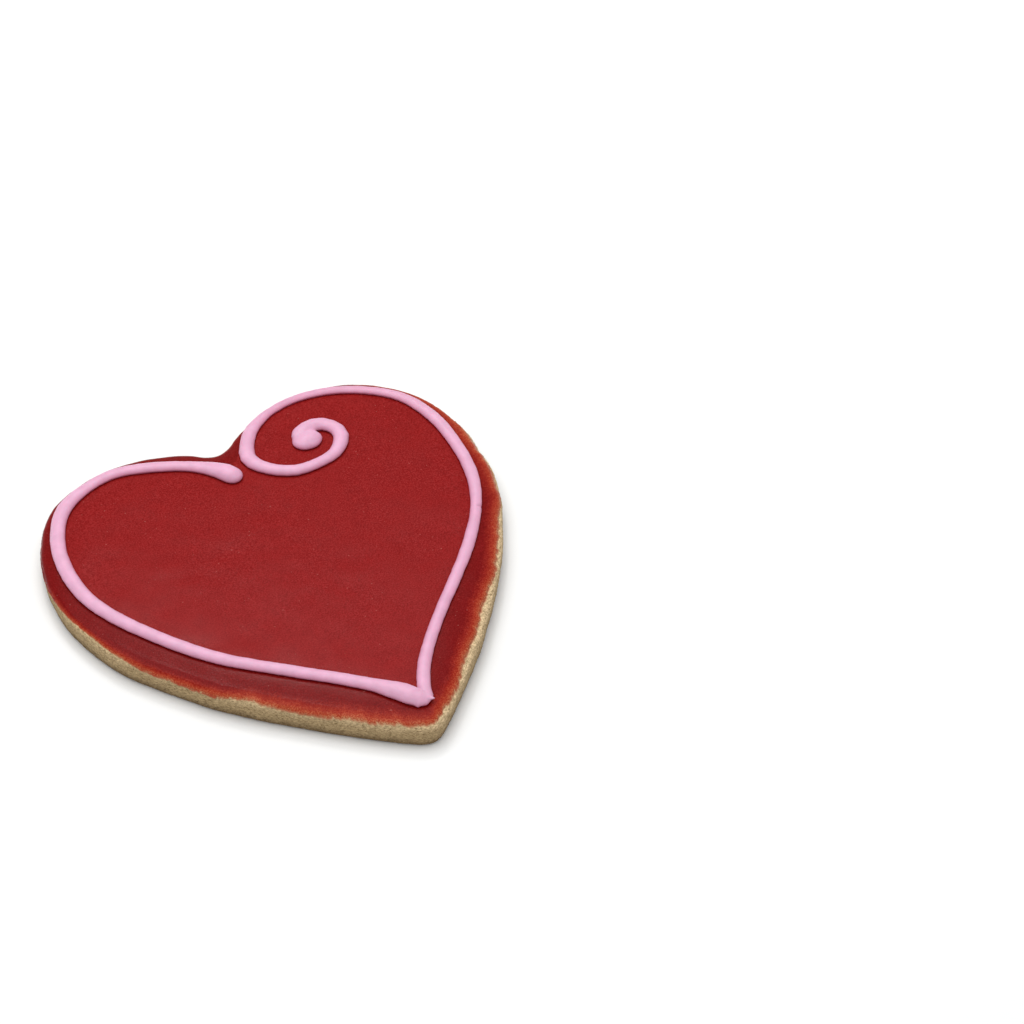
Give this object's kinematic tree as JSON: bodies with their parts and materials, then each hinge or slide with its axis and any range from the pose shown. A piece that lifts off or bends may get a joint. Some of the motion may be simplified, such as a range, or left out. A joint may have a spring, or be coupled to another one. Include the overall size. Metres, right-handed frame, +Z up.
{
  "type": "heart-shaped iced biscuit",
  "caption": "Heart-shaped rolled biscuit with smooth red icing and a piped pink border that ends in a curl inside one lobe.",
  "frame": {"origin": "centre of the bounding box's bottom, on the surface that the biscuit lies on", "axes": "+Z up out of the iced face, -Y towards the heart's point, +Y towards its two lobes, +X towards the lobe that holds the curl"},
  "size_m": [0.102, 0.1044, 0.0092],
  "materials": {
    "baked_biscuit": "matt, fine crumbly grain, paler at the top of the side",
    "red_icing": "smooth satin set icing, very fine speckle, thinner and more orange at its edge",
    "pink_icing": "smooth satin piped icing"
  },
  "bodies": {
    "root": {"biscuit": "baked_biscuit", "red_icing": "red_icing", "pink_piping": "pink_icing"}
  },
  "joints": []
}
